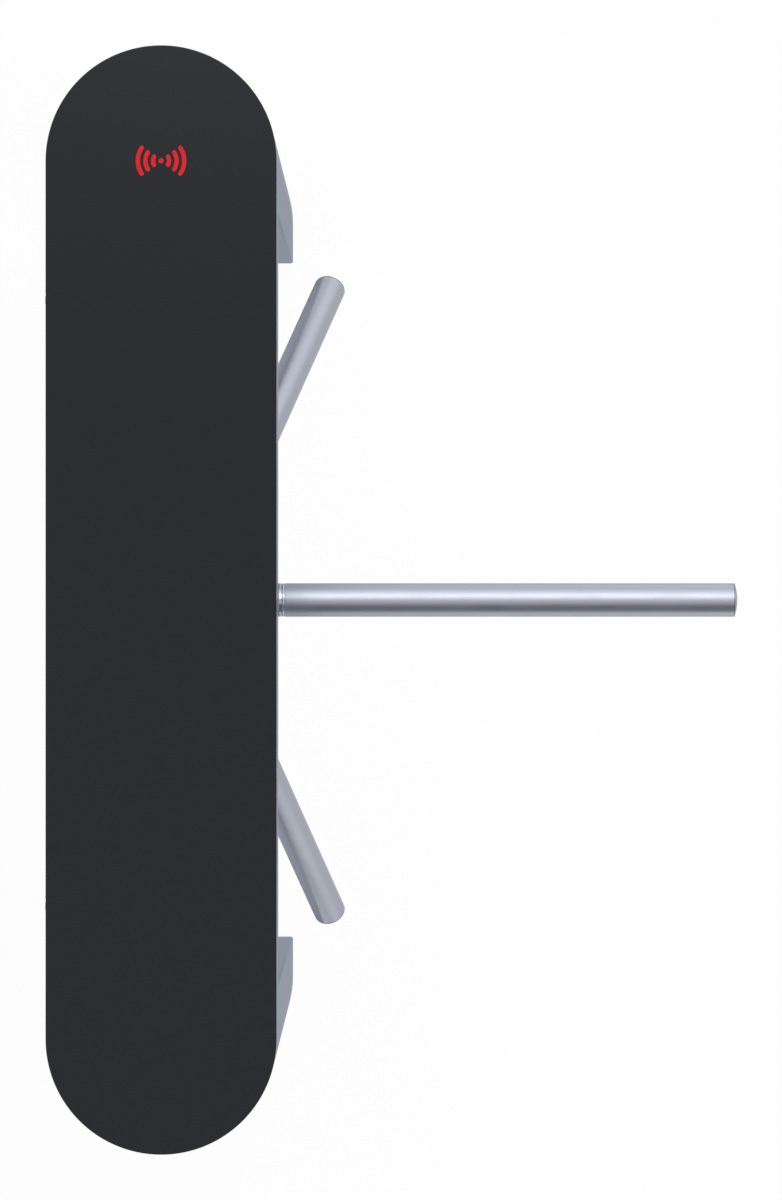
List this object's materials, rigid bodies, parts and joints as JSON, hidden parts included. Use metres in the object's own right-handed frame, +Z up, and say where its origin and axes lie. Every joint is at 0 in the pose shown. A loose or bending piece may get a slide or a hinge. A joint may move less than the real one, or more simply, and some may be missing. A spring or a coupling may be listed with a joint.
{
  "type": "tripod turnstile",
  "caption": "Waist-high bridge turnstile with a three-arm rotor on a slanted hub, a hinged black glass lid, service doors in both legs and a geared motor drive.",
  "frame": {"origin": "on the floor, at the centre of the two rectangles of anchor holes, which is the centre of the cabinet's footprint", "axes": "+X across into the passage, where the arms stand out; +Y along the cabinet to the end with the card reader; +Z up"},
  "size_m": [0.7578, 1.2, 1],
  "materials": {
    "satin_steel": "satin, fine vertical grain",
    "tube_steel": "satin, grain round the tube",
    "polished_steel": "mirror polished",
    "black_glass": "black back-printed glass, gloss",
    "rubber_black": "matt",
    "zinc_plated": "zinc plated, dull",
    "hub_alloy": "satin lacquered casting",
    "cast_alloy": "as cast",
    "ground_steel": "ground",
    "gear_steel": "machined",
    "pinion_brass": "machined",
    "black_plastic": "fine texture",
    "black_enamel": "semi-gloss enamel",
    "circuit_green": "solder mask",
    "grey_plastic": "moulded"
  },
  "bodies": {
    "cabinet": {"front_leg_shell": "satin_steel", "rear_leg_shell": "satin_steel", "leg_bulkheads": "satin_steel", "beam_shell": "satin_steel", "top_rim": "satin_steel", "front_base_plate": "zinc_plated", "rear_base_plate": "zinc_plated", "lid_hinge_lower_leaves": "zinc_plated", "lid_hinge_pins": "ground_steel", "lid_lock_barrels": "zinc_plated", "door_frame_leaves": "zinc_plated", "door_hinge_pins": "ground_steel", "hub_trim_ring": "black_plastic", "drive_front_plate": "zinc_plated", "drive_rear_plate": "zinc_plated", "drive_pillars": "zinc_plated", "bearing_housing": "cast_alloy", "bearing_outer_rings": "ground_steel", "shaft_seal": "rubber_black", "bearing_circlip": "zinc_plated", "motor_body": "black_enamel", "encoder_sensor": "black_plastic", "power_supply": "zinc_plated", "control_board": "circuit_green", "board_spacers": "pinion_brass", "terminal_blocks": "grey_plastic"},
    "lid": {"glass_top": "black_glass", "lid_pan": "satin_steel", "lid_gasket": "rubber_black", "lid_lock_keepers": "zinc_plated", "card_reader": "black_plastic", "lid_hinge_upper_leaves": "zinc_plated"},
    "front_lid_cam": {"front_lid_lock_cam": "ground_steel"},
    "rear_lid_cam": {"rear_lid_lock_cam": "ground_steel"},
    "front_leg_door": {"front_door": "satin_steel", "front_door_leaves": "zinc_plated", "front_door_lock_barrel": "zinc_plated"},
    "front_door_cam": {"front_door_lock_cam": "ground_steel"},
    "rear_leg_door": {"rear_door": "satin_steel", "rear_door_leaves": "zinc_plated", "rear_door_lock_barrel": "zinc_plated"},
    "rear_door_cam": {"rear_door_lock_cam": "ground_steel"},
    "tripod": {"spindle": "ground_steel", "bearing_inner_rings": "ground_steel", "spindle_spacer": "zinc_plated", "drive_gear": "gear_steel", "gear_key": "zinc_plated", "encoder_disc": "black_enamel", "spindle_nut": "zinc_plated", "hub_casting": "hub_alloy", "hub_washer": "zinc_plated", "hub_screw": "zinc_plated", "hub_cap": "black_plastic", "arm_collars": "polished_steel", "level_arm_tube": "tube_steel", "front_arm_tube": "tube_steel", "rear_arm_tube": "tube_steel", "arm_end_caps": "polished_steel"},
    "motor_rotor": {"motor_shaft": "ground_steel", "motor_pinion": "pinion_brass"}
  },
  "joints": [
    {"name": "tripod_turn", "type": "hinge", "parent": "cabinet", "child": "tripod", "pos_m": [0.0255, 0, 0.88], "axis": [0.7071, 0, -0.7071], "continuous": true},
    {"name": "motor_turn", "type": "hinge", "parent": "cabinet", "child": "motor_rotor", "pos_m": [0.0255, 0.07875, 0.88], "axis": [0.7071, 0, -0.7071], "continuous": true},
    {"name": "lid_hinge", "type": "hinge", "parent": "cabinet", "child": "lid", "pos_m": [0.122, 0, 0.9883], "axis": [0, 1, 0], "range_deg": [0, 75]},
    {"name": "front_lid_lock", "type": "hinge", "parent": "cabinet", "child": "front_lid_cam", "pos_m": [-0.125, 0.33, 0.955], "axis": [-1, 0, 0], "range_deg": [0, 90]},
    {"name": "rear_lid_lock", "type": "hinge", "parent": "cabinet", "child": "rear_lid_cam", "pos_m": [-0.125, -0.33, 0.955], "axis": [-1, 0, 0], "range_deg": [0, 90]},
    {"name": "front_door_hinge", "type": "hinge", "parent": "cabinet", "child": "front_leg_door", "pos_m": [-0.105, 0.422, 0], "axis": [0, 0, -1], "range_deg": [0, 100]},
    {"name": "front_door_lock", "type": "hinge", "parent": "front_leg_door", "child": "front_door_cam", "pos_m": [0.072, 0.425, 0.385], "axis": [0, -1, 0], "range_deg": [0, 90]},
    {"name": "rear_door_hinge", "type": "hinge", "parent": "cabinet", "child": "rear_leg_door", "pos_m": [-0.105, -0.422, 0], "axis": [0, 0, 1], "range_deg": [0, 100]},
    {"name": "rear_door_lock", "type": "hinge", "parent": "rear_leg_door", "child": "rear_door_cam", "pos_m": [0.072, -0.425, 0.385], "axis": [0, -1, 0], "range_deg": [0, 90]}
  ],
  "couplings": [
    {"joint": "motor_turn", "follows": "tripod_turn", "ratio": -4}
  ]
}
